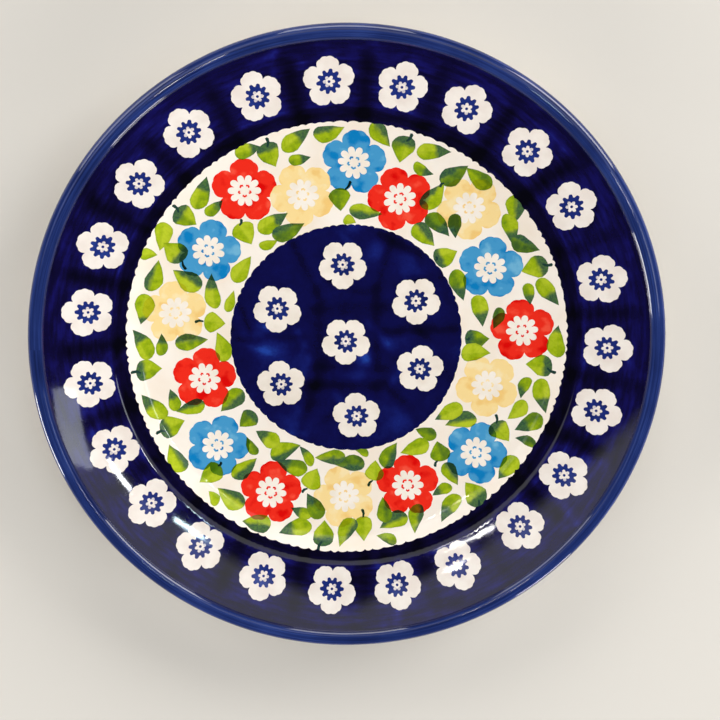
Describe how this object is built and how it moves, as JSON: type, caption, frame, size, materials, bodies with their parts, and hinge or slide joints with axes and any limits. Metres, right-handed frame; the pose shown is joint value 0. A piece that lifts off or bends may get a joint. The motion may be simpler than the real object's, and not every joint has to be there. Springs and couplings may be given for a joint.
{
  "type": "decorated stoneware plate",
  "caption": "Round rimmed dessert plate on a foot ring, with a wide shallow well, a rolled lip and a glazed, stamped and painted floral face.",
  "frame": {"origin": "centre of the foot ring's resting plane, on the plate's axis", "axes": "+Z along the plate's axis, out of the decorated face; +Y towards the top of the decoration as the plate is shown on a stand; +X to the right of the decoration"},
  "size_m": [0.195, 0.195, 0.0245],
  "materials": {
    "clay": "unglazed",
    "cobalt_glaze": "gloss",
    "lip_glaze": "gloss",
    "white_glaze": "gloss",
    "underside_glaze": "gloss"
  },
  "bodies": {
    "root": {"clay_body": "clay", "medallion_ground": "cobalt_glaze", "garland_ground": "white_glaze", "rim_ground": "cobalt_glaze", "lip_band": "lip_glaze", "underside_glaze": "underside_glaze", "base_glaze": "underside_glaze"}
  },
  "joints": []
}
